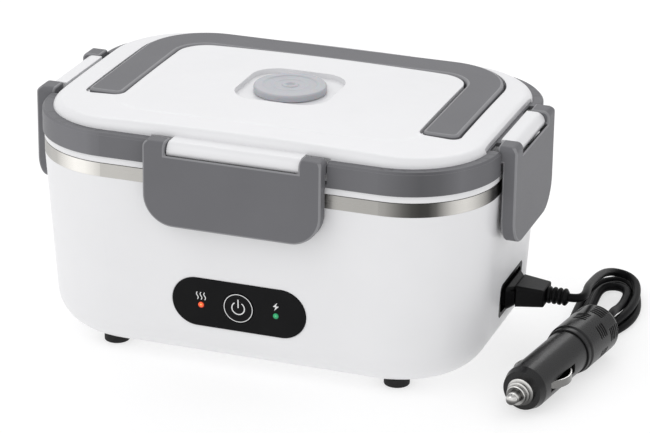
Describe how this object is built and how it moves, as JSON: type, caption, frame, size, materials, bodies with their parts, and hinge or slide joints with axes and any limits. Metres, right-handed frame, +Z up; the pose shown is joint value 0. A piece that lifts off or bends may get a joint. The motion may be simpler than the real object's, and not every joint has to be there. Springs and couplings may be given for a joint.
{
  "type": "electric lunch box",
  "caption": "Portable food warmer: heated tub with steel tray, clip-on lid with folding handle and steam valve, and a cord with car plug.",
  "frame": {"origin": "on the table, under the middle of the box", "axes": "+X to the right side with the power inlet, +Y to the back, +Z up; the control panel faces -Y"},
  "size_m": [0.2744, 0.1852, 0.1195],
  "materials": {
    "white_plastic": "glossy moulded plastic",
    "grey_plastic": "fine satin moulded plastic",
    "liner_plastic": "plain moulded plastic",
    "black_plastic": "satin moulded plastic",
    "black_gloss": "polished plastic",
    "polished_steel": "polished stainless steel",
    "screw_steel": "plated steel",
    "spring_steel": "bright strip",
    "aluminium_plate": "milled",
    "heater_ceramic": "fired",
    "felt": "mineral felt",
    "amber_lens": "clear moulded",
    "green_lens": "clear moulded",
    "circuit_board": "laminate",
    "contact_metal": "nickel plated",
    "wire_cover": "soft PVC",
    "silicone": "translucent silicone",
    "cable_rubber": "soft PVC",
    "black_rubber": "moulded rubber",
    "fuse_glass": "clear"
  },
  "bodies": {
    "base": {"outer_casing": "white_plastic", "steel_rim_band": "polished_steel", "inner_liner": "liner_plastic", "foot_front_left": "black_rubber", "foot_front_right": "black_rubber", "foot_back_left": "black_rubber", "foot_back_right": "black_rubber", "case_screws": "screw_steel", "heating_plate": "aluminium_plate", "heating_stones": "heater_ceramic", "heater_clamp": "spring_steel", "clamp_screws": "screw_steel", "insulation_pad": "felt", "thermostat": "spring_steel", "control_panel": "black_gloss", "heat_lamp": "amber_lens", "power_lamp": "green_lens", "control_board": "circuit_board", "board_screws": "screw_steel", "button_switch": "black_plastic", "power_inlet": "black_plastic", "inlet_pins": "contact_metal", "heater_wires": "wire_cover", "board_wires": "wire_cover"},
    "button": {"power_button": "black_gloss"},
    "tray": {"food_tray": "polished_steel"},
    "lid": {"lid_shell": "white_plastic", "lid_band": "grey_plastic", "lid_gasket": "silicone", "lid_liner": "liner_plastic", "lid_screws": "screw_steel", "handle_pin_left": "screw_steel", "handle_pin_right": "screw_steel", "latch_pin_front": "screw_steel", "latch_pin_right": "screw_steel", "latch_pin_back": "screw_steel", "latch_pin_left": "screw_steel"},
    "handle": {"carry_handle": "grey_plastic"},
    "valve": {"steam_valve": "silicone"},
    "front_latch": {"latch_front": "grey_plastic"},
    "right_latch": {"latch_right": "grey_plastic"},
    "back_latch": {"latch_back": "grey_plastic"},
    "left_latch": {"latch_left": "grey_plastic"},
    "cord": {"cord_connector": "black_plastic", "connector_sleeves": "contact_metal", "cord_strain_relief": "cable_rubber", "cable_lead": "cable_rubber", "cable_hank": "cable_rubber", "cable_tail": "cable_rubber", "plug_strain_relief": "cable_rubber", "car_plug_collar": "black_plastic", "car_plug_body": "black_plastic", "plug_nose_ring": "contact_metal", "tip_spring": "spring_steel", "plug_fuse": "fuse_glass", "fuse_contact": "contact_metal", "side_contact_left": "contact_metal", "side_contact_right": "contact_metal"},
    "tip": {"plug_tip": "contact_metal"}
  },
  "joints": [
    {"name": "lid_lift", "type": "slide", "parent": "base", "child": "lid", "axis": [0, 0, 1], "range_m": [0, 0.16]},
    {"name": "tray_lift", "type": "slide", "parent": "base", "child": "tray", "axis": [0, 0, 1], "range_m": [0, 0.08]},
    {"name": "handle_fold", "type": "hinge", "parent": "lid", "child": "handle", "pos_m": [0, -0.0305, 0.1137], "axis": [1, 0, 0], "range_deg": [0, 100]},
    {"name": "valve_lift", "type": "slide", "parent": "lid", "child": "valve", "axis": [0, 0, 1], "range_m": [0, 0.015]},
    {"name": "front_latch_open", "type": "hinge", "parent": "lid", "child": "front_latch", "pos_m": [0, -0.076, 0.1092], "axis": [-1, 0, 0], "range_deg": [0, 110]},
    {"name": "right_latch_open", "type": "hinge", "parent": "lid", "child": "right_latch", "pos_m": [0.111, 0, 0.1092], "axis": [0, -1, 0], "range_deg": [0, 110]},
    {"name": "back_latch_open", "type": "hinge", "parent": "lid", "child": "back_latch", "pos_m": [0, 0.076, 0.1092], "axis": [1, 0, 0], "range_deg": [0, 110]},
    {"name": "left_latch_open", "type": "hinge", "parent": "lid", "child": "left_latch", "pos_m": [-0.111, 0, 0.1092], "axis": [0, 1, 0], "range_deg": [0, 110]},
    {"name": "button_press", "type": "slide", "parent": "base", "child": "button", "axis": [0, 0.9987, 0.0518], "range_m": [0, 0.0006], "stiffness_N_per_m": 600, "springref_m": -0.0005},
    {"name": "cord_unplug", "type": "slide", "parent": "base", "child": "cord", "axis": [1, 0, 0], "range_m": [0, 0.03]},
    {"name": "tip_press", "type": "slide", "parent": "cord", "child": "tip", "axis": [0.1907, 0.9811, 0.0333], "range_m": [0, 0.0025], "stiffness_N_per_m": 1200, "springref_m": -0.002, "deforming": ["tip_spring"]}
  ],
  "couplings": [
    {"joint": "tray_lift", "follows": "lid_lift", "ratio": 0.5}
  ]
}
